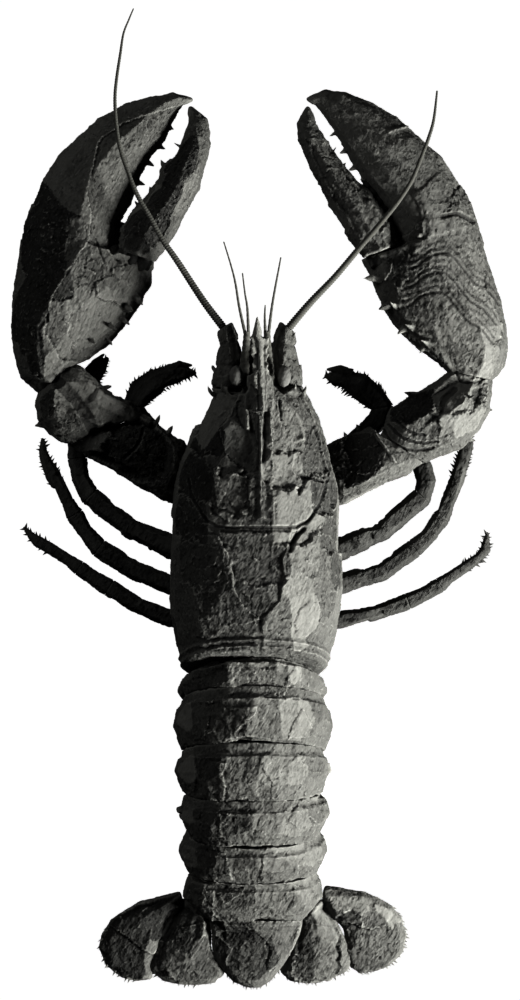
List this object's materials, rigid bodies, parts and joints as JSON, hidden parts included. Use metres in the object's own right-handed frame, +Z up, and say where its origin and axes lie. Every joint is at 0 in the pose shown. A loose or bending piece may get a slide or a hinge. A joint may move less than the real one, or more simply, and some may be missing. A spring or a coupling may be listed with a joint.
{
  "type": "fossil lobster",
  "caption": "Fossil lobster in dark stone, whole and in the round: ridged shield, jointed tail and fan, two large claws, walking legs and long whips.",
  "frame": {"origin": "on the surface the fossil lies on, at the flat of the breast plate under the middle of the shield", "axes": "+Y towards the head, +Z up through the back, +X to the right of the picture, which is the animal's own right"},
  "size_m": [0.2231, 0.44, 0.06],
  "materials": {
    "shield_stone": "matte, split slate with ledges",
    "under_stone": "matte, rough",
    "eye_stone": "matte, smoother",
    "whip_stone": "matte, ringed",
    "tail_stone": "matte, split slate with ledges",
    "fan_stone": "matte, rough edges",
    "claw_stone": "matte, split slate with ledges",
    "leg_stone": "matte, rough"
  },
  "bodies": {
    "root": {"carapace": "shield_stone", "sternum": "under_stone", "eye_left": "eye_stone", "eye_right": "eye_stone", "antenna_base_left": "shield_stone", "antenna_base_right": "shield_stone", "antenna_left": "whip_stone", "antenna_right": "whip_stone", "antennules_left": "whip_stone", "antennules_right": "whip_stone", "tail_segment_1": "tail_stone", "tail_segment_2": "tail_stone", "tail_segment_3": "tail_stone", "tail_segment_4": "tail_stone", "tail_segment_5": "tail_stone", "tail_segment_6": "tail_stone", "telson": "fan_stone", "uropod_inner_left": "fan_stone", "uropod_inner_right": "fan_stone", "uropod_outer_left": "fan_stone", "uropod_outer_right": "fan_stone", "claw_palm_left": "claw_stone", "claw_palm_right": "claw_stone", "claw_finger_left": "claw_stone", "claw_finger_right": "claw_stone", "claw_wrist_left": "claw_stone", "claw_wrist_right": "claw_stone", "claw_arm_left": "claw_stone", "claw_arm_right": "claw_stone", "claw_joint_left": "under_stone", "claw_joint_right": "under_stone", "maxilliped_left": "under_stone", "maxilliped_right": "under_stone", "leg_1_left_upper": "leg_stone", "leg_1_left_middle": "leg_stone", "leg_1_left_lower": "leg_stone", "leg_1_right_upper": "leg_stone", "leg_1_right_middle": "leg_stone", "leg_1_right_lower": "leg_stone", "leg_2_left_upper": "leg_stone", "leg_2_left_middle": "leg_stone", "leg_2_left_lower": "leg_stone", "leg_2_right_upper": "leg_stone", "leg_2_right_middle": "leg_stone", "leg_2_right_lower": "leg_stone", "leg_3_left_upper": "leg_stone", "leg_3_left_middle": "leg_stone", "leg_3_left_lower": "leg_stone", "leg_3_right_upper": "leg_stone", "leg_3_right_middle": "leg_stone", "leg_3_right_lower": "leg_stone", "leg_4_left_upper": "leg_stone", "leg_4_left_middle": "leg_stone", "leg_4_left_lower": "leg_stone", "leg_4_right_upper": "leg_stone", "leg_4_right_middle": "leg_stone", "leg_4_right_lower": "leg_stone"}
  },
  "joints": []
}
